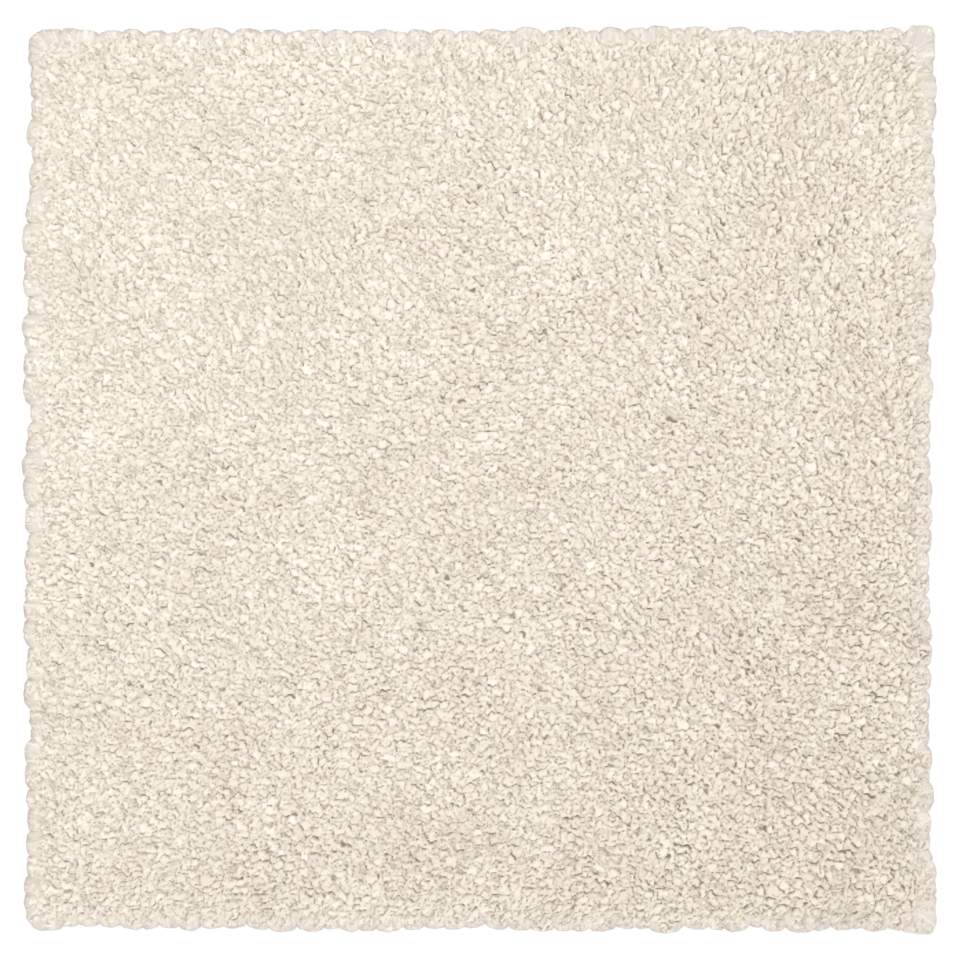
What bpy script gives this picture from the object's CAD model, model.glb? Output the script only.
# %% [markdown]
# # A shag rug, flock by flock
#
# A shag rug is thousands of short, soft strands of yarn, rooted in a woven cloth. Seen from above the cloth
# never shows, and after some use nor does any single strand. The strands felt together into flocks that lie
# over each other like scales, with small shaded creases between them.
#
# The pile could be a particle system of hair, but hair isn't a mesh, and the rug has to be one. It could be
# thousands of copies of one tuft, but those look combed, and each strand costs triangles. It could be a plain
# slab with a bump map, but a bump casts no shadow, and the slab's edge would stay a clean line. Here the pile
# is a fine grid of heights, raised flock by flock, and a bump adds only the finest fibres.

# %% Imports and the fixed frame
import math
import random

import bmesh
import bpy
import numpy as np
from mathutils import Matrix, Vector, noise
from mathutils.bvhtree import BVHTree


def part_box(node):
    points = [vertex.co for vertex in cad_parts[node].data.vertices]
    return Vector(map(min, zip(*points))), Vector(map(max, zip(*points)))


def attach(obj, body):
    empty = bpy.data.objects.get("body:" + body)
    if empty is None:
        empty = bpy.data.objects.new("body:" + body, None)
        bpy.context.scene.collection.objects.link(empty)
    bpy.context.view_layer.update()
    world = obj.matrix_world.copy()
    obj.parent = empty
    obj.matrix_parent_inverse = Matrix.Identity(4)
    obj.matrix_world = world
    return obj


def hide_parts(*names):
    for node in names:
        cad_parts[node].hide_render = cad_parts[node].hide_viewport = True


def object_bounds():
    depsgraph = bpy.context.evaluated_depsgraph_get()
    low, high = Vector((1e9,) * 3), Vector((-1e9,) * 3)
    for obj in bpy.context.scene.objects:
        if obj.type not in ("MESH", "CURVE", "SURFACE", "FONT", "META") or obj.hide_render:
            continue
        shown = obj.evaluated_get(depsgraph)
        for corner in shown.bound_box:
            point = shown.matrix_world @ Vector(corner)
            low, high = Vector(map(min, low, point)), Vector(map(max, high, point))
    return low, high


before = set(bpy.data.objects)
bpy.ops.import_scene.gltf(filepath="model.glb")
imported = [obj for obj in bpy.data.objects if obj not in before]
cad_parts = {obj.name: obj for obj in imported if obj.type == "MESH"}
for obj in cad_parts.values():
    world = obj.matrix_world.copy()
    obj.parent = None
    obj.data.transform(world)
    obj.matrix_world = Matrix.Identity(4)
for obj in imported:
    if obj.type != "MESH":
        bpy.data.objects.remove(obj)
cad_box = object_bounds()
print("the frame:", ", ".join(sorted(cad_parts)))

# %% [markdown]
# ## Measures
#
# The frame holds the rug as plain solids: a flat backing, and a lumpy slab with locks at its rim. Every place
# below is worked out from them. The photo shows about 0.88 mm of the rug in each of its pixels, so a flock
# that is 5 mm wide is six pixels wide, and nothing finer than a millimetre can be seen.

# %% Measures
MM = 0.001
RUG_HALF = 400 * MM  # from the rug's middle to its edge
floor_z = cad_box[0].z
pile_low, pile_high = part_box("pile")
rng = random.Random(5)
print(f"the pile goes from {pile_low.z / MM:.1f} to {pile_high.z / MM:.1f} mm")

# %% [markdown]
# ## The camera
#
# The photo looks straight down. A long lens from high above keeps the near top of the pile and its far foot
# the same size to within a hundredth, as in the photo. An orthographic camera would make them exactly the
# same size, but a real lens never does.

# %% The camera
PHOTO_SCALE = 0.884 * MM  # of the rug, to a pixel of the photo
PHOTO_PIXELS = 960
LENS = 100  # mm
SENSOR = 36  # mm, its width
OFF_CENTRE = Vector((0.9 * MM, -0.5 * MM, 0))  # the rug lies a pixel to the left of the photo's middle

camera = bpy.data.objects.new("camera", bpy.data.cameras.new("camera"))
camera.data.lens = LENS
camera.data.sensor_width = SENSOR
distance = PHOTO_SCALE * PHOTO_PIXELS * LENS / SENSOR
camera.location = OFF_CENTRE + Vector((0, 0, floor_z + distance))
bpy.context.scene.collection.objects.link(camera)
bpy.context.scene.camera = camera
print(f"the camera is {distance:.2f} m above the floor")


# %% [markdown]
# ## Small helpers for materials
#
# Colours are picked from a photo as sRGB, and Blender works in linear light, so one function turns them. One
# more adds a node, sets it and links it, so that each material below reads as a short list.


# %% Helpers for materials
def linear(hex_colour):
    """An sRGB hex colour as linear RGBA, by the formula of the sRGB standard."""
    channels = [int(hex_colour[i : i + 2], 16) / 255 for i in (0, 2, 4)]
    return (*[c / 12.92 if c <= 0.04045 else ((c + 0.055) / 1.055) ** 2.4 for c in channels], 1.0)


def add_node(tree, kind, inputs=(), stops=(), **settings):
    """Adds a node. inputs maps a socket's name or number to a value, or to the output that feeds it.

    stops are a colour ramp's places and hex colours.
    """
    node = tree.nodes.new(kind)
    for name, value in settings.items():
        setattr(node, name, value)
    for name, value in dict(inputs).items():
        if isinstance(value, bpy.types.NodeSocket):
            tree.links.new(value, node.inputs[name])
        else:
            node.inputs[name].default_value = value
    for _ in stops[2:]:
        node.color_ramp.elements.new(1.0)
    for number, (place, colour) in enumerate(stops):
        node.color_ramp.elements[number].position = place
        node.color_ramp.elements[number].color = linear(colour)
    return node


def new_material(name):
    """A new material, its node tree and its shader."""
    material = bpy.data.materials.new(name)
    material.use_nodes = True
    tree = material.node_tree
    return material, tree, tree.nodes["Principled BSDF"]


# %% [markdown]
# ## The yarn's colour and finish
#
# The pile is soft, heat-set yarn in natural cream, and nothing in it shines. Fine fibres stand off every
# flock and scatter the light, which a weak sheen gives. The flocks differ a little in tone. A picture of real
# yarn could be laid on instead, but its own shadows would never fit the flocks of this mesh.
#
# Down in a crease the light has met cream yarn several times over, so it is darker and warmer there. The
# render finds some of that by itself, but the creases of the mesh are shallower than the real ones. So each
# vertex keeps a number, hollow, that takes its colour towards a warm grey.

# %% The yarn's colour and finish
YARN_STOPS = ((0.0, "e2dacf"), (0.35, "efe7dc"), (0.7, "f6f0e6"), (1.0, "fbf8f0"))
COMBED_STOPS = ((0.0, "e4dcd5"), (0.4, "f1eae2"), (1.0, "faf6ee"))
HOLLOW_COLOUR = "b4a894"
SHEEN_COLOUR = "f3dcbb"
MIX_FROM, MIX_TO, MIX_RESULT = 6, 7, 2  # the sockets of a Mix node that hold colours


def yarn_colour(tree, stops):
    """A stop by the mean of tone and shade, which is then taken towards the hollows' colour."""
    tone, shade, hollow = (
        add_node(tree, "ShaderNodeAttribute", attribute_name=name).outputs["Fac"]
        for name in ("tone", "shade", "hollow")
    )
    both = add_node(tree, "ShaderNodeMath", {0: tone, 1: shade}, operation="ADD")
    half = add_node(tree, "ShaderNodeMath", {0: both.outputs[0], 1: 0.5}, operation="MULTIPLY")
    yarn = add_node(tree, "ShaderNodeValToRGB", {"Fac": half.outputs[0]}, stops)
    mixed = {0: hollow, MIX_FROM: yarn.outputs[0], MIX_TO: linear(HOLLOW_COLOUR)}
    return add_node(tree, "ShaderNodeMix", mixed, data_type="RGBA").outputs[MIX_RESULT]


def set_woolly(shader):
    """Yarn is rough and mirrors next to nothing. A weak, warm sheen keeps its shade from going grey."""
    shader.inputs["Roughness"].default_value = 0.9
    shader.inputs["Diffuse Roughness"].default_value = 1.0
    shader.inputs["Specular IOR Level"].default_value = 0.1
    shader.inputs["Sheen Weight"].default_value = 0.3
    shader.inputs["Sheen Roughness"].default_value = 0.4
    shader.inputs["Sheen Tint"].default_value = linear(SHEEN_COLOUR)


# %% [markdown]
# ## The finest fibres
#
# Finer than the flocks are only fibres, which run along each flock and are matted into small tufts with thin
# creases between them. Modelled, they would be millions of faces, so they are a bump. The cells of a Voronoi
# texture, pulled wide and warped, are the tufts. A noise that is stretched along each flock is the fibres. It
# reads how far along and around a flock each vertex is, and the flock's shade sets its fibres apart.
#
# A real fibre is a few hundredths of a millimetre thick, which no pixel shows. So the fibres are drawn as
# wisps, one to three millimetres wide.

# %% Tufts
TUFT = 4.5 * MM
TUFT_SQUEEZE = 0.55  # of the pattern's places, which pulls each tuft wide
TUFT_TURN = math.radians(22)
TUFT_CREASE = 0.16  # the share of a tuft over which it slopes down to its crease
TUFT_WARP = 6 * MM
TUFT_WARP_OVER = 5 * MM


def tuft_heights(tree):
    """One on a tuft, down to zero in the creases between two."""
    place = add_node(tree, "ShaderNodeTexCoord").outputs["Object"]
    warp = add_node(
        tree,
        "ShaderNodeTexNoise",
        {"Vector": place, "Scale": 1 / TUFT_WARP_OVER, "Detail": 1.0},
        noise_dimensions="2D",
    )
    by_warp = {0: warp.outputs["Color"], 1: (TUFT_WARP, TUFT_WARP, TUFT_WARP)}
    shift = add_node(tree, "ShaderNodeVectorMath", by_warp, operation="MULTIPLY")
    warped = add_node(tree, "ShaderNodeVectorMath", {0: place, 1: shift.outputs[0]}, operation="ADD")
    turned = add_node(tree, "ShaderNodeVectorRotate", {"Vector": warped.outputs[0], "Angle": TUFT_TURN})
    squeezed = {0: turned.outputs[0], 1: (TUFT_SQUEEZE, 1.0, 1.0)}
    wide = add_node(tree, "ShaderNodeVectorMath", squeezed, operation="MULTIPLY")
    cells = add_node(
        tree,
        "ShaderNodeTexVoronoi",
        {"Vector": wide.outputs[0], "Scale": 1 / TUFT},
        voronoi_dimensions="2D",
        feature="DISTANCE_TO_EDGE",
    )
    rising = {"Value": cells.outputs[0], "From Max": TUFT_CREASE}
    return add_node(tree, "ShaderNodeMapRange", rising).outputs[0]


print(f"a tuft is {TUFT / MM:.1f} by {TUFT / TUFT_SQUEEZE / MM:.1f} mm")

# %% Fibres
FIBRE_STRETCH = 0.18  # a fibre's breadth over its length
FIBRE_APART = 50  # how far apart in the noise two flocks are, for a whole step of shade


def fibre_heights(tree, fibre):
    """Fibres that run along each flock, in about 0 to 1."""
    along, around, shade = (
        add_node(tree, "ShaderNodeAttribute", attribute_name=name).outputs["Fac"]
        for name in ("along", "around", "shade")
    )
    strand = add_node(tree, "ShaderNodeCombineXYZ", {0: around, 1: along, 2: shade})
    stretched = {0: strand.outputs[0], 1: (1 / fibre, FIBRE_STRETCH / fibre, FIBRE_APART)}
    spread = add_node(tree, "ShaderNodeVectorMath", stretched, operation="MULTIPLY")
    noisy = {"Vector": spread.outputs[0], "Scale": 1.0, "Detail": 2.0}
    return add_node(tree, "ShaderNodeTexNoise", noisy).outputs[0]


def fluff_bump(tree, fibre, creases, streaks, strength):
    """Fibres matted into tufts, as a bump. creases and streaks are the depths of tufts and fibres."""
    by_depth = {0: fibre_heights(tree, fibre), 1: streaks / creases}
    combed = add_node(tree, "ShaderNodeMath", by_depth, operation="MULTIPLY")
    height = add_node(tree, "ShaderNodeMath", {0: tuft_heights(tree), 1: combed.outputs[0]}, operation="ADD")
    depth = {"Strength": strength, "Distance": creases, "Height": height.outputs[0]}
    return add_node(tree, "ShaderNodeBump", depth).outputs[0]


print(f"a fibre is {1 / FIBRE_STRETCH:.1f} times as long as it is wide")


# %% The two yarns
def yarn_material(name, stops, fibre, creases, streaks, strength):
    """A yarn by its colours, the width of its fibres and its bump."""
    material, tree, shader = new_material(name)
    tree.links.new(yarn_colour(tree, stops), shader.inputs["Base Color"])
    tree.links.new(fluff_bump(tree, fibre, creases, streaks, strength), shader.inputs["Normal"])
    set_woolly(shader)
    return material


# Cream yarn, matted. It gives the eye a soft, matt cream with warm darks in its creases, and no highlight.
yarn = yarn_material(
    "cream_pile_yarn", YARN_STOPS, fibre=1.2 * MM, creases=0.7 * MM, streaks=0.7 * MM, strength=0.35
)
# The same yarn, combed flat. Its strands lie side by side, so it gives an even, pale grey with fine streaks.
combed_yarn = yarn_material(
    "cream_pile_yarn_combed_flat",
    COMBED_STOPS,
    fibre=2.4 * MM,
    creases=0.5 * MM,
    streaks=1.6 * MM,
    strength=0.6,
)
print("made the materials", yarn.name, "and", combed_yarn.name)


# %% [markdown]
# ## How the pile lies
#
# Pile never lies the same way all over. It has patches, each combed by the last hand or foot that crossed it.
# In the photo the left and the top lie flatter and more to one side, the right and the bottom stand up more.
# Near the edge every flock leans outward. A direction for each flock could be painted by hand, but a few slow
# noises, added as vectors, give such a field in a few lines.

# %% Patches and the edge
PATCH = 95 * MM
EDGE_BAND = 42 * MM  # over which the flocks turn outward


def slow(point, span, seed):
    """A smooth random value in about -1 to 1 that changes over a span. Each use has its own seed."""
    return noise.noise(Vector((point.x / span, point.y / span, seed)))


def edge_pull(point):
    """The way outward, times how strongly the edge turns the flocks there, from 0 to 1."""
    pull = Vector((0, 0))
    for way in (0, 1):
        near = 1 - (RUG_HALF - abs(point[way])) / EDGE_BAND
        pull[way] = math.copysign(max(0.0, near), point[way])
    return pull


halfway = RUG_HALF - EDGE_BAND / 2
print(f"halfway into its band, the edge pulls by {edge_pull(Vector((halfway, 0))).x:.1f}")

# %% How the pile lies
LAY = Vector((-0.85, 0.35))  # the general lay, to the left and a little up the photo
LAY_RISE = 0.25  # how much more up it is at the top edge than in the middle
TURN = Vector((1.8, 0.7))  # added to it in the top right corner
PATCH_TURN = 0.5
SWIRL = 24 * MM
SWIRL_TURN = 0.4
EDGE_TURN = 1.6
LAY_STRAY = 0.12  # of each flock on its own


def lay_at(point):
    """The way that a flock lies at a point, as an azimuth."""
    lay = LAY + Vector((0, LAY_RISE * point.y / RUG_HALF))
    lay += TURN * max(0.0, (point.x + point.y) / (2 * RUG_HALF)) ** 2
    lay += PATCH_TURN * Vector((slow(point, PATCH, 1.5), slow(point, PATCH, 7.5)))
    lay += SWIRL_TURN * Vector((slow(point, SWIRL, 3.5), slow(point, SWIRL, 9.5)))
    lay += EDGE_TURN * edge_pull(point)
    lay += Vector((rng.gauss(0, LAY_STRAY), rng.gauss(0, LAY_STRAY)))
    return math.atan2(lay.y, lay.x)


print(f"the general lay is {math.degrees(math.atan2(LAY.y, LAY.x)):.0f} degrees round from the right")

# %% From corner to corner
MIDDLE_TONE = 0.5
TONE_BY = 0.42  # from the middle of the rug to a corner
TONE_PATCH = 60 * MM
TONE_PATCH_BY = 0.28
PROUD_BY = 0.2  # from the middle of the rug to a corner
UPRIGHT = 0.45  # in the middle of the rug. Zero is flat, one is upright
UPRIGHT_BY = 0.45  # from corner to corner
UPRIGHT_PATCH_BY = 0.35
UPRIGHT_STRAY = 0.20  # of each flock on its own
EDGE_FLATTENS = 0.5
LEANS_FROM = 0.36
STANDS_FROM = 0.66


def rug_tone(point):
    """The pile is palest at the top left and dullest at the bottom right, with patches in between."""
    fall = TONE_BY * (point.y - point.x) / (2 * RUG_HALF)
    return MIDDLE_TONE + fall + TONE_PATCH_BY * slow(point, TONE_PATCH, 31.5)


def proud(x, y):
    """How much the flocks stand out: least at the top left, where the pile is pressed flat."""
    return 1 + PROUD_BY * (x - y) / (2 * RUG_HALF)


def habit_at(point):
    """Lying, leaning or standing. Lying is likeliest at the top left, standing at the bottom right."""
    towards_lower_right = (point.x - point.y) / (4 * RUG_HALF)
    upright = UPRIGHT + UPRIGHT_BY * towards_lower_right
    upright += UPRIGHT_PATCH_BY * slow(point, PATCH, 21.5)
    upright += rng.gauss(0, UPRIGHT_STRAY)
    upright -= EDGE_FLATTENS * min(1.0, edge_pull(point).length)
    return "lying" if upright < LEANS_FROM else "leaning" if upright < STANDS_FROM else "standing"


print(f"flocks stand out {proud(-RUG_HALF, RUG_HALF):.1f} times their height at the top left")
print(f"and {proud(RUG_HALF, -RUG_HALF):.1f} times their height at the bottom right")

# %% [markdown]
# ## The surface of the slab
#
# In the large, the rug is the frame's slab: its outline, its thickness and its slow ups and downs. The flocks
# only add to it. A Shrinkwrap modifier would lay a finished mesh on it, but the flocks are worked out as
# numbers before there is a mesh. So a ray straight down reads the slab's height at one place.

# %% The surface of the slab
RAY_FROM = 100 * MM  # well over the pile
DOWN = Vector((0, 0, -1))
slab = BVHTree.FromObject(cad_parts["pile"], bpy.context.evaluated_depsgraph_get())


def surface(x, y):
    """The slab's top at a place, or None beside it."""
    return slab.ray_cast(Vector((x, y, RAY_FROM)), DOWN)[0]


print(f"the slab is {(surface(0, 0).z - floor_z) / MM:.1f} mm high in the middle")

# %% [markdown]
# ## The line round the rug
#
# The frame's slab ends in locks. Its outline could be cut out and used as it is, but a lock there has a flat
# end, and the photo's locks are round. So a ray from outside, level with the locks, finds how far each
# reaches, at stations a little over a millimetre apart. A lock's strands fan out: rolling a disc along the
# measured line rounds each lock into a lobe and leaves a narrow notch between two.
#
# In a corner the locks fan apart, and the photo shows no gaps there. Each corner is a superellipse that has
# its own roundness and takes in the locks that reach farthest.

# %% Stations round the rug
RIM_INSET = 20 * MM
RIM_CORNER = 12 * MM
STATION = 1.25 * MM
LOCK_LEVEL = 4 * MM  # over the floor
OUTSIDE = 60 * MM  # past the stations, well clear of the locks


def stations():
    """Places on a rounded square just inside the rug's edge, with the way outward at each."""
    straight = RUG_HALF - RIM_INSET - RIM_CORNER
    found = []
    for quarter in range(4):
        turn = Matrix.Rotation(math.radians(90) * quarter, 2)
        steps = round(2 * straight / STATION)
        for step in range(steps):
            place = Vector((straight + RIM_CORNER, -straight + 2 * straight * step / steps))
            found.append((turn @ place, turn @ Vector((1, 0))))
        arc = round(math.radians(90) * (RIM_CORNER + RIM_INSET) / STATION)
        for step in range(arc):
            angle = math.radians(90) * step / arc
            out = Vector((math.cos(angle), math.sin(angle)))
            found.append((turn @ (Vector((straight, straight)) + out * RIM_CORNER), turn @ out))
    return found


def lock_reach(place, out):
    """How far the frame's locks reach from a station."""
    start = Vector((*(place + out * OUTSIDE), floor_z + LOCK_LEVEL))
    hit = slab.ray_cast(start, Vector((-out.x, -out.y, 0)))
    return OUTSIDE - hit[3]


line = stations()
line_places = np.array([place for place, _ in line])
reaches = np.array([lock_reach(place, out) for place, out in line])
print(f"from {len(line)} stations, the locks reach {reaches.min() / MM:.1f} to {reaches.max() / MM:.1f} mm")

# %% The lobes along the sides
LOCK_END = 7.5 * MM  # how much of a lock's width is its flat end
LOBE_RADIUS = 13 * MM


def over_stations(values, span, combine):
    """Combines each station's value with those up to a span to either side."""
    most = round(span / STATION)
    return combine([np.roll(values, shift) for shift in range(-most, most + 1)], axis=0)


def roll_disc(values):
    """The line that a disc leaves when it is rolled along a line of reaches."""
    rolled = values.copy()
    for shift in range(1, int(LOBE_RADIUS / STATION)):
        rounding = LOBE_RADIUS - math.sqrt(LOBE_RADIUS**2 - (shift * STATION) ** 2)
        beside = np.maximum(np.roll(values, shift), np.roll(values, -shift))
        rolled = np.maximum(rolled, beside - rounding)
    return rolled


side_lobes = roll_disc(over_stations(reaches, LOCK_END / 2, np.min))
print(f"along the sides the lobes reach up to {side_lobes.max() / MM:.1f} mm past the stations")

# %% The corners
CORNER_LOCK = 10 * MM  # in a corner, gaps narrower than twice this are closed
CORNER_EVENED = 4 * MM  # to each side, over which a corner's line is evened out
# The power of a superellipse for each corner, by whether it's on the right and at the top. Two is a circle.
SQUARENESS = {(False, True): 3.2, (True, True): 9.0, (False, False): 4.5, (True, False): 6.0}


def corner_radius(place, out):
    """How far the outline of a rounded square with a half side of one is, in a direction."""
    squareness = SQUARENESS[place.x > 0, place.y > 0]
    return (abs(out.x) ** squareness + abs(out.y) ** squareness) ** (-1 / squareness)


radii = np.array([corner_radius(place, out) for place, out in line])
halves = (RIM_CORNER + reaches) / radii
halves = over_stations(over_stations(halves, CORNER_LOCK, np.max), CORNER_LOCK, np.min)
halves = over_stations(halves, CORNER_EVENED, np.mean)
corner_line = halves * radii - RIM_CORNER
print(f"with its gaps closed, the line is {corner_line.mean() / MM:.1f} mm past the stations on average")

# %% The lobed line
CORNER_FULL = 0.88  # cosine of the turn from a side's way outward, up to which only the corner's line counts
CORNER_FADE = 0.1  # of the cosine, over which the side's line takes over


def side_share(out):
    """One along a side, zero in the middle of a corner."""
    return min(1.0, max(0.0, (max(abs(out.x), abs(out.y)) - CORNER_FULL) / CORNER_FADE))


straightness = np.array([side_share(out) for _, out in line])
lobes = straightness * side_lobes + (1 - straightness) * corner_line
print(f"the lobed line is {lobes.min() / MM:.1f} to {lobes.max() / MM:.1f} mm past the stations")


def inside_line(x, y):
    """How far a place is inside the lobed line."""
    nearest = int(np.argmin(np.hypot(line_places[:, 0] - x, line_places[:, 1] - y)))
    place, out = line[nearest]
    return lobes[nearest] - (Vector((x, y)) - place).dot(out)


# %% [markdown]
# ## The matted pile
#
# Seen from above, matted strands are soft scallops. Each rises from its root towards its tip and ends over
# the next one's root. Sculpting some 28,000 of them is out of the question, and metaballs would melt them
# together. So each flock is a small lopsided dome, worked out on a grid of heights, and where flocks overlap
# the higher one shows. Under them lies a thin, uneven felt, which shows where there is a gap. A warp of the
# grid makes every outline uneven.

# %% The grid of heights
GRID = 1.2 * MM
WARP_BY = 2.0 * MM
WARP_OVER = 5 * MM
EVENED = 3  # times that values are averaged with their neighbours', to even them out
RIM_BAND = 40 * MM  # from the rug's edge, where the lobed line matters

side = round(RUG_HALF / GRID)
axis = np.arange(-side, side + 1) * GRID


def grid_noise(span, seed):
    """A smooth random value at each place of the grid."""
    return np.array([[noise.noise(Vector((x / span, y / span, seed))) for x in axis] for y in axis])


def evened(values):
    """Averages the grid's values with their neighbours'."""
    for _ in range(EVENED):
        for way in (0, 1):
            values = (np.roll(values, 1, way) + values + np.roll(values, -1, way)) / 3
    return values


def slab_heights():
    """The slab's heights over the floor on the grid, evened out."""
    spots = [[surface(x, y) for x in axis] for y in axis]
    return evened(np.array([[0.0 if spot is None else spot.z - floor_z for spot in row] for row in spots]))


def insides():
    """How far each place of the grid is inside the edge: the lobed line near it, a square elsewhere."""
    found = RUG_HALF - np.maximum(abs(axis)[None, :], abs(axis)[:, None])
    for row, column in np.argwhere(found < RIM_BAND):
        found[row, column] = inside_line(axis[column], axis[row])
    return found


# The noise rarely passes a half, so twice WARP_BY moves places by about WARP_BY at most.
warps = [2 * WARP_BY * grid_noise(WARP_OVER, seed) for seed in (3.3, 8.3)]
base, inside = slab_heights(), insides()
print("the grid has", axis.size, "by", axis.size, "heights")

# %% Flocks and the felt under them
FLOCK_PITCH = 4.8 * MM
SCATTER = 0.4  # of the pitch, to each side
# Length, breadth and height.
FLOCK_SIZES = {
    "lying": (20.0 * MM, 4.4 * MM, 5.6 * MM),
    "leaning": (14.0 * MM, 5.0 * MM, 6.6 * MM),
    "standing": (9.0 * MM, 6.2 * MM, 7.8 * MM),
}
SIZES_FROM, SIZES_TO = 0.6, 1.4  # times the sizes above
CREST = 0.72  # the share of its length at which a flock is highest
SHADES_FROM, SHADES_TO = 0.2, 0.8
GROUP = 9 * MM  # flocks this near each other are alike in tone
GROUP_TONE = 0.3
FLOCK_TONE = 0.10
UNDERLAY = 0.6 * MM  # the height of the felt between the flocks, over their roots
UNDERLAY_BY = 3.0 * MM  # how uneven that felt is. Where it's low, there are gaps between the flocks
GAPS = 14 * MM  # the usual distance between two groups of gaps

second, along, around, shade = (np.zeros((axis.size, axis.size)) for _ in range(4))
relief = np.clip(UNDERLAY + UNDERLAY_BY * grid_noise(GAPS, 61.5), 0, None)
tone = np.full(relief.shape, MIDDLE_TONE)


def scattered(steps):
    """So many steps of the pitch from the middle, give or take the scatter."""
    return steps * FLOCK_PITCH + rng.uniform(-SCATTER, SCATTER) * FLOCK_PITCH


def flock_places():
    """Uneven rows of places over the whole rug, each row half a step beside the last."""
    rows = round(2 * RUG_HALF / FLOCK_PITCH)
    for row in range(rows):
        for column in range(rows + 1):
            yield Vector((scattered(column + 0.5 * (row % 2) - rows / 2), scattered(row + 0.5 - rows / 2)))


flocks = list(flock_places())
print(len(flocks), "flocks")

# %% Raising the flocks
TOUCHED = 1.5 * WARP_BY  # past a flock's own half length, the warp may still bring a place into it


def grid_window(place, reach):
    """The columns and the rows of the grid within a reach of a place."""
    return (
        slice(max(0, int((place[way] - reach) / GRID) + side), int((place[way] + reach) / GRID) + side + 2)
        for way in (0, 1)
    )


def add_flock(place):
    """Raises one flock out of the relief, and keeps its numbers wherever it is the highest."""
    size = FLOCK_SIZES[habit_at(place)]
    length, breadth, height = (measure * rng.uniform(SIZES_FROM, SIZES_TO) for measure in size)
    azimuth = lay_at(place)
    columns, rows = grid_window(place, 0.5 * length + TOUCHED)
    dx = axis[columns][None, :] - place.x + warps[0][rows, columns]
    dy = axis[rows][:, None] - place.y + warps[1][rows, columns]
    way_along = (dx * math.cos(azimuth) + dy * math.sin(azimuth)) / length + 0.5
    way_across = (dy * math.cos(azimuth) - dx * math.sin(azimuth)) * 2 / breadth
    rise = np.sin(np.clip(way_along / CREST, 0, 1) * math.pi / 2)
    fall = np.sqrt(np.clip(1 - (np.maximum(way_along - CREST, 0) / (1 - CREST)) ** 2, 0, 1))
    dome = height * proud(*place) * rise * fall * np.sqrt(np.clip(1 - way_across**2, 0, 1))
    higher = dome > relief[rows, columns]
    second[rows, columns] = np.maximum(second[rows, columns], np.minimum(dome, relief[rows, columns]))
    relief[rows, columns][higher] = dome[higher]
    along[rows, columns][higher] = (way_along * length)[higher]
    around[rows, columns][higher] = (way_across * breadth / 2)[higher]
    shade[rows, columns][higher] = rng.uniform(SHADES_FROM, SHADES_TO)
    group = GROUP_TONE * slow(place, GROUP, 41.5)
    tone[rows, columns][higher] = rug_tone(place) + group + rng.gauss(0, FLOCK_TONE)


for place in flocks:
    add_flock(place)
print(f"they are {relief.mean() / MM:.1f} mm high on average and up to {relief.max() / MM:.1f} mm")

# %% [markdown]
# ## Creases and hollows
#
# Two things are dark in a matted pile: the thin line where one flock ends over another, and the hollows
# between flocks that stand up. A crease is where the highest dome and the second highest are nearly level. A
# hollow is where the pile lies well under its own surroundings. An ambient occlusion node could find both,
# but it slows each render down, and it can't weigh a crease and a hollow apart.

# %% Creases and hollows
CREASE = 2.5 * MM  # the deepest crease between two flocks of a height
CREASE_STEP = 0.45 * MM  # the step between two flocks that has a third of that crease
CREASE_SHARE = 0.6  # how far the colour goes to the hollows' colour in the deepest crease
SHADOW_DEPTH = 4.8 * MM  # this far under its surroundings, the pile has the hollows' colour

standing_out = proud(axis[None, :], axis[:, None])
creases = np.exp((second - relief) / CREASE_STEP) * standing_out
shadow = np.clip((evened(relief) - relief) / SHADOW_DEPTH, 0, 1) * standing_out
hollow = CREASE_SHARE * creases + shadow
print(f"creases and hollows take the colour {hollow.mean():.0%} of the way to theirs, on average")


# %% [markdown]
# ## Small helpers for meshes
#
# Each piece is made with bmesh from grids and edges that are extruded. Its place is in its mesh, and its
# object stays at the origin, so that a texture by object coordinates is in the rug's own measures. What a
# material has to know about a place, such as how dark its hollow is, is a number on each vertex.


# %% Helpers for meshes
def start_mesh(*names):
    """An empty mesh whose vertices keep a number of each name."""
    bm = bmesh.new()
    for name in names:
        bm.verts.layers.float.new(name)
    return bm


def extrude_edges(bm, edges):
    """Extrudes edges. Returns the new vertices and the new edges."""
    made = bmesh.ops.extrude_edge_only(bm, edges=edges)["geom"]
    kinds = bmesh.types.BMVert, bmesh.types.BMEdge
    return [[item for item in made if isinstance(item, kind)] for kind in kinds]


def link_piece(name, bm, material, smooth=False):
    """A finished piece: an object at the origin, with its place in its mesh."""
    mesh = bpy.data.meshes.new(name)
    bm.to_mesh(mesh)
    bm.free()
    if smooth:
        mesh.shade_smooth()
    mesh.materials.append(material)
    piece = bpy.data.objects.new(name, mesh)
    bpy.context.scene.collection.objects.link(piece)
    return piece


# %% [markdown]
# ## The strips of the pile
#
# One mesh of the whole pile would be too heavy to handle, so it is five strips side by side. A Displace
# modifier could raise a grid by an image of the heights, but then the heights would have to be made into an
# image first. Here each strip starts as a flat grid, and each vertex is raised to its own height. Those past
# the rim are deleted. The open border is extruded down into the backing and filled, so each strip is closed.

# %% The height of the pile
SUNK = 5.0 * MM  # of the flocks' roots, under the slab's surface
DIVE = 8 * MM  # nearer the edge than this, the surface goes down to the rim
DIVE_SLOPE = 0.15
LOWEST = 3.0 * MM  # over the floor, for the deepest crease

lifts = base + relief - CREASE * creases - SUNK - DIVE_SLOPE * np.clip(DIVE - inside, 0, None)
lifts = np.maximum(lifts, LOWEST)
print(f"the pile is up to {lifts.max() / MM:.1f} mm high over the floor")

# %% The strips of the pile
STRIPS = 5
STRIP_FOOT = 1 * MM  # over the floor, for a strip's underside
RIM_COVER = 3.0 * MM  # the width of the rim that the flocks leave bare
kept_numbers = {"along": along, "around": around, "shade": shade, "tone": tone, "hollow": hollow}


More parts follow.
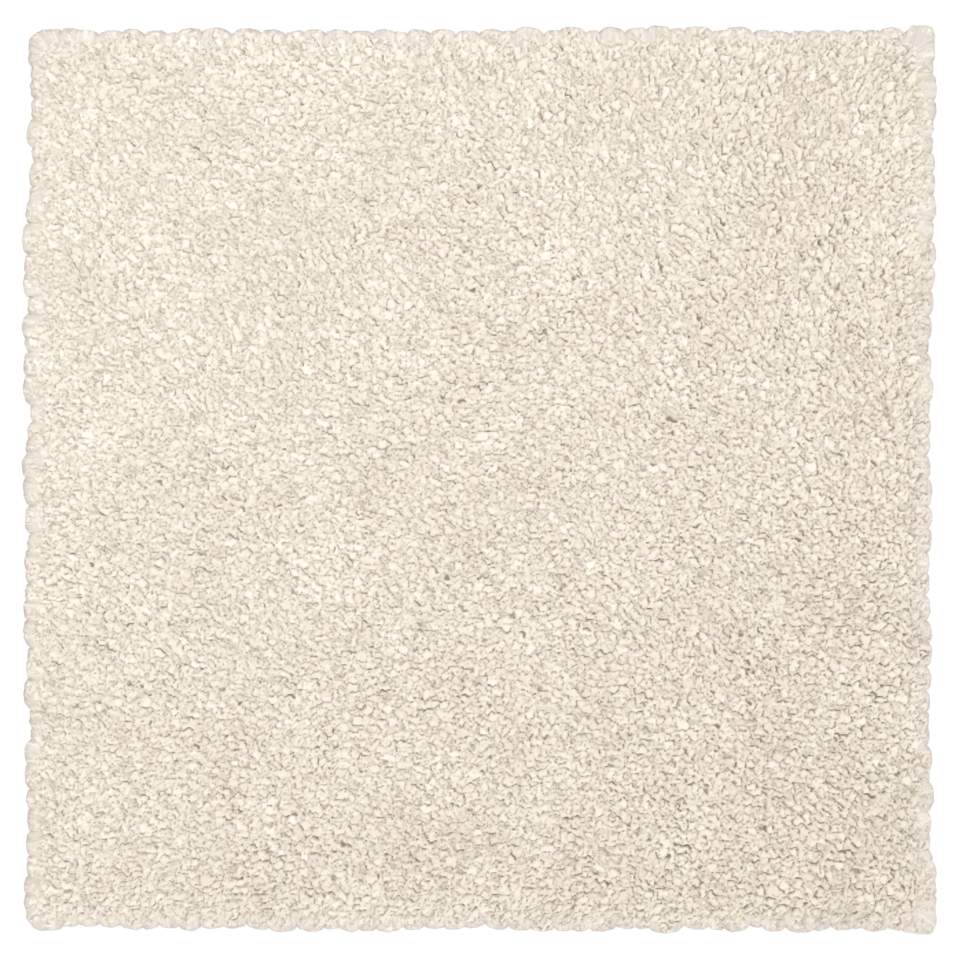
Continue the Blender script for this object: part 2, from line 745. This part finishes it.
def strip_grid(bm, first, last):
    """A flat grid over the columns from first to last of the grid of heights."""
    middle = Vector(((axis[first] + axis[last]) / 2, 0, 0))
    columns, rows = last - first, axis.size - 1
    stretch = Matrix.Diagonal((columns * GRID, rows * GRID, 1, 1))
    in_place = Matrix.Translation(middle) @ stretch
    bmesh.ops.create_grid(bm, x_segments=columns, y_segments=rows, size=0.5, matrix=in_place)


def raise_strip(bm):
    """Raises each vertex to its height and gives it its numbers. Deletes those past the rim."""
    layers = [(bm.verts.layers.float[name], numbers) for name, numbers in kept_numbers.items()]
    outside = []
    for vert in bm.verts:
        spot = round(vert.co.y / GRID) + side, round(vert.co.x / GRID) + side
        vert.co.z = floor_z + lifts[spot]
        for layer, numbers in layers:
            vert[layer] = numbers[spot]
        if inside[spot] < RIM_COVER + warps[0][spot]:
            outside.append(vert)
    bmesh.ops.delete(bm, geom=outside, context="VERTS")


def make_strip(number):
    """One strip of the pile, closed by a wall and an underside."""
    bm = start_mesh(*kept_numbers)
    strip_grid(bm, *(round(share * (axis.size - 1) / STRIPS) for share in (number, number + 1)))
    raise_strip(bm)
    verts, edges = extrude_edges(bm, [edge for edge in bm.edges if edge.is_boundary])
    for vert in verts:
        vert.co.z = floor_z + STRIP_FOOT
    bmesh.ops.edgeloop_fill(bm, edges=edges)
    bmesh.ops.recalc_face_normals(bm, faces=bm.faces)
    return link_piece(f"pile_strip_{number + 1}", bm, yarn, smooth=True)


strips = [make_strip(number) for number in range(STRIPS)]
for strip in strips:
    print(strip.name, len(strip.data.polygons), "faces")

# %% [markdown]
# ## The rim
#
# Round the matted pile the photo shows a narrow, streaked border with a lobed edge. There the strands lie
# combed outward, side by side. A bevel of the pile's edge would be the same all the way round. So the border
# starts as a closed line of edges inside the rim. Extruding those edges again and again, each time a little
# farther out and lower, makes a skirt that ends at the lobed line, and a noise along it makes its grooves.

# %% The grooves and the slant of the rim
SKIRT_SUNK = 5.0 * MM  # under the slab's top, so that the flocks lie over it
GROOVE = 0.6 * MM
GROOVE_PITCH = 2.8 * MM
SLANT_PATCH = 45 * MM
SLANT_BY = 0.9
FAN_OVER = 3  # stations to each side, over which a lobe's slope is measured
FAN_BY = 0.8
MOST_SLANT = 0.6  # radians


def groove_noise(index, row, seed):
    """A random value for a station, in about -1 to 1, that changes from groove to groove."""
    return noise.noise(Vector((index * STATION / GROOVE_PITCH, row, seed)))


def slant_at(index):
    """How far the rim's strands turn from straight outward, in radians. In a lobe they fan out."""
    fan = (lobes[index - FAN_OVER] - lobes[(index + FAN_OVER) % len(line)]) / (2 * FAN_OVER * STATION)
    slant = SLANT_BY * slow(line[index][0], SLANT_PATCH, 51.5) + FAN_BY * fan
    return max(-MOST_SLANT, min(MOST_SLANT, slant)) * straightness[index]


heights = [surface(place.x, place.y).z - floor_z - SKIRT_SUNK for place, _ in line]
print(f"the skirt starts {min(heights) / MM:.1f} to {max(heights) / MM:.1f} mm over the floor")

# %% The skirt
# Each row from the top: its share of the reach outward and its share of the height.
SKIRT_ROWS = (
    (0.30, 0.95),
    (0.56, 0.83),
    (0.77, 0.64),
    (0.91, 0.42),
    (0.985, 0.20),
    (1.0, 0.07),
    (0.93, 0.02),
    (0.0, 0.02),
)
GROOVE_LIFT = 3.0  # how much deeper a groove is downward than inward
GROOVED_FROM = 0.15  # share of the height. The rows below it lie flat
SKIRT_SLANT = 0.6  # the share of the slant that the skirt takes
TIP_STRAIGHTENED = 0.6  # the share of that slant that a strand has lost at its tip
MIDDLE_SHADE = 0.5
STREAK_SHADE = 1.2


def skirt_row(bm, edges, share, lift):
    """Extrudes the border's last loop of edges and moves it to its place. Returns the new loop."""
    verts, new_edges = extrude_edges(bm, edges)
    station, reach_layer = bm.verts.layers.int["station"], bm.verts.layers.float["along"]
    for vert in verts:
        index = vert[station]
        place, out = line[index]
        groove = GROOVE * groove_noise(index, share, 71.5)
        slant = math.tan(SKIRT_SLANT * slant_at(index)) * share * (1 - TIP_STRAIGHTENED * share)
        reach = (lobes[index] + groove) * share
        spot = place + out * reach + Vector((-out.y, out.x)) * reach * slant
        raised = groove * GROOVE_LIFT * (lift > GROOVED_FROM)
        vert.co = (spot.x, spot.y, floor_z + heights[index] * lift + raised)
        vert[reach_layer] = reach
    return new_edges


def make_skirt():
    """The combed border: a closed loop of edges, extruded row by row and joined to itself underneath."""
    bm = start_mesh("along", "around", "shade")
    station = bm.verts.layers.int.new("station")
    round_layer, shade_layer = bm.verts.layers.float["around"], bm.verts.layers.float["shade"]
    for index, (place, _) in enumerate(line):
        vert = bm.verts.new((place.x, place.y, floor_z + heights[index]))
        vert[station] = index
        vert[round_layer] = index * STATION
        vert[shade_layer] = MIDDLE_SHADE + STREAK_SHADE * groove_noise(index, 0, 91.5)
    bm.verts.ensure_lookup_table()
    top = [bm.edges.new((bm.verts[index - 1], bm.verts[index])) for index in range(len(line))]
    edges = top
    for share, lift in SKIRT_ROWS:
        edges = skirt_row(bm, edges, share, lift)
    bmesh.ops.bridge_loops(bm, edges=top + edges)
    bmesh.ops.recalc_face_normals(bm, faces=bm.faces)
    piece = link_piece("rim_skirt", bm, combed_yarn, smooth=True)
    piece.data.attributes.remove(piece.data.attributes["station"])
    return piece


skirt = make_skirt()
print("rim_skirt:", len(skirt.data.polygons), "faces")

# %% [markdown]
# ## The backing cloth
#
# The pile is rooted in a plain weave of coarse thread. It lies on the floor and shows only from below, but it
# is what makes the rug one thing. Woven thread by thread it would be thousands of faces for a side that
# nobody sees, so it is the frame's flat backing with its weave in the material: two sets of waves across each
# other, multiplied, which stand up where two threads cross.

# %% The backing cloth
THREAD_PITCH = 3.2 * MM  # some three threads to a centimetre
THREAD_DEPTH = 0.6 * MM
THREAD_STRAY = 0.6  # how unevenly the threads run
WAVE_STEP = 20  # radians a metre, of a wave texture whose scale is one
WEAVE_STOPS = ((0.0, "8f7a5c"), (0.6, "bda987"), (1.0, "cdbb9b"))


def backing_material():
    """Coarse tan thread, woven. It gives the eye a matt, even grain with a dark dot in each gap."""
    material, tree, shader = new_material("tan_woven_backing_cloth")
    place = add_node(tree, "ShaderNodeTexCoord").outputs["Object"]
    spacing = {"Vector": place, "Scale": math.tau / (WAVE_STEP * THREAD_PITCH), "Distortion": THREAD_STRAY}
    threads = [add_node(tree, "ShaderNodeTexWave", spacing, bands_direction=way).outputs[1] for way in "XY"]
    weave = add_node(tree, "ShaderNodeMath", {0: threads[0], 1: threads[1]}, operation="MULTIPLY").outputs[0]
    colour = add_node(tree, "ShaderNodeValToRGB", {"Fac": weave}, WEAVE_STOPS)
    bump = add_node(tree, "ShaderNodeBump", {"Strength": 0.8, "Distance": THREAD_DEPTH, "Height": weave})
    tree.links.new(colour.outputs[0], shader.inputs["Base Color"])
    tree.links.new(bump.outputs[0], shader.inputs["Normal"])
    shader.inputs["Roughness"].default_value = 0.9
    return material


def make_backing():
    """The frame's backing, with its doubled vertices joined."""
    bm = bmesh.new()
    bm.from_mesh(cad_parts["backing"].data)
    bmesh.ops.remove_doubles(bm, verts=bm.verts, dist=0.01 * MM)
    return link_piece("backing_cloth", bm, backing_material())


backing = make_backing()
print("backing_cloth:", len(backing.data.polygons), "faces")

# %% [markdown]
# ## Floor and light
#
# The photo is cut out on white, so the floor is plain and nearly white. Its light is soft, and the shade in
# the pile falls to no side that can be told. A ring of lamps could give that, but so does one wide lamp
# overhead, which shades the creases, with a white surround that fills them again.

# %% The floor
FLOOR_HALF = 6.0
FLOOR_GAP = 0.2 * MM  # under the rug, so that the floor and its underside don't show through each other


def make_floor():
    """Matt, pale paint. It gives the eye an even white, on which the rug has only a faint shadow."""
    bm = bmesh.new()
    bmesh.ops.create_grid(bm, x_segments=1, y_segments=1, size=FLOOR_HALF)
    bmesh.ops.translate(bm, vec=(0, 0, floor_z - FLOOR_GAP), verts=bm.verts)
    material, _, shader = new_material("pale_floor_paint")
    shader.inputs["Base Color"].default_value = linear("fbfbfb")
    shader.inputs["Roughness"].default_value = 0.9
    piece = link_piece("floor", bm, material)


make_floor()
print(f"the floor is {2 * FLOOR_HALF:.0f} m wide")

# %% The light
SURROUND = 0.62  # the strength of the white all round, which fills the shade in the creases


def add_light(name, place, size, power):
    """A round, soft lamp that points at the rug's middle. Its size is in metres, its power in watts."""
    lamp = bpy.data.lights.new(name, "AREA")
    lamp.shape = "DISK"
    lamp.size = size
    lamp.energy = power
    light = bpy.data.objects.new(name, lamp)
    light.location = place
    light.rotation_euler = (-Vector(place)).to_track_quat("-Z", "Y").to_euler()
    bpy.context.scene.collection.objects.link(light)


add_light("overhead", place=(0.0, 0.05, 2.8), size=1.2, power=42.5)
world = bpy.data.worlds.new("white_studio")
world.use_nodes = True
world.node_tree.nodes["Background"].inputs["Color"].default_value = linear("ffffff")
world.node_tree.nodes["Background"].inputs["Strength"].default_value = SURROUND
bpy.context.scene.world = world
bpy.context.scene.view_settings.view_transform = "Standard"
print("lit by one lamp overhead and", world.name)

# %% [markdown]
# ## Tying the pieces to the frame
#
# Every piece of the pile stands for the frame's slab and moves with the rug. The backing is a sheet of cloth
# laid on the floor.

# %% Tying the pieces to the frame
pile_pieces = [*strips, skirt]
for piece in pile_pieces:
    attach(piece, "root")
    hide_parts("pile")
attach(backing, "root")
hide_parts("backing")
triangles = sum(len(face.vertices) - 2 for piece in [*pile_pieces, backing] for face in piece.data.polygons)
print("triangles in all:", triangles)
